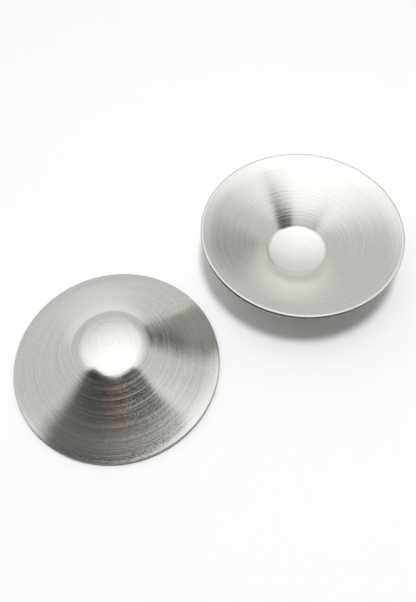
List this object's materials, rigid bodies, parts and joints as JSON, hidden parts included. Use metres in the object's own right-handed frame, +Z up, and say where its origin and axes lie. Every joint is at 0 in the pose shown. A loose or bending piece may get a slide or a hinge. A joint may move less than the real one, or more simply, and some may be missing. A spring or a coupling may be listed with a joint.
{
  "type": "finger cymbals",
  "caption": "Small finger cymbals: flared spun-metal plates with a domed centre boss, laid side by side, one boss up and one hollow side up.",
  "frame": {"origin": "on the table, under the middle of the pair's bounding box, halfway between the two plates' centres", "axes": "+X runs from the left plate towards the right plate along the long side of the pair, +Y away from the viewer, +Z up along both plates' own axes"},
  "size_m": [0.1124, 0.0864, 0.0132],
  "materials": {
    "brushed_plate": "concentric lathe-brushed satin"
  },
  "bodies": {
    "left_plate": {"left_cymbal": "brushed_plate"},
    "right_plate": {"right_cymbal": "brushed_plate"}
  },
  "joints": [
    {"name": "right_cymbal_lift", "type": "slide", "parent": "left_plate", "child": "right_plate", "axis": [0, 0, 1], "range_m": [0, 0.03]}
  ]
}
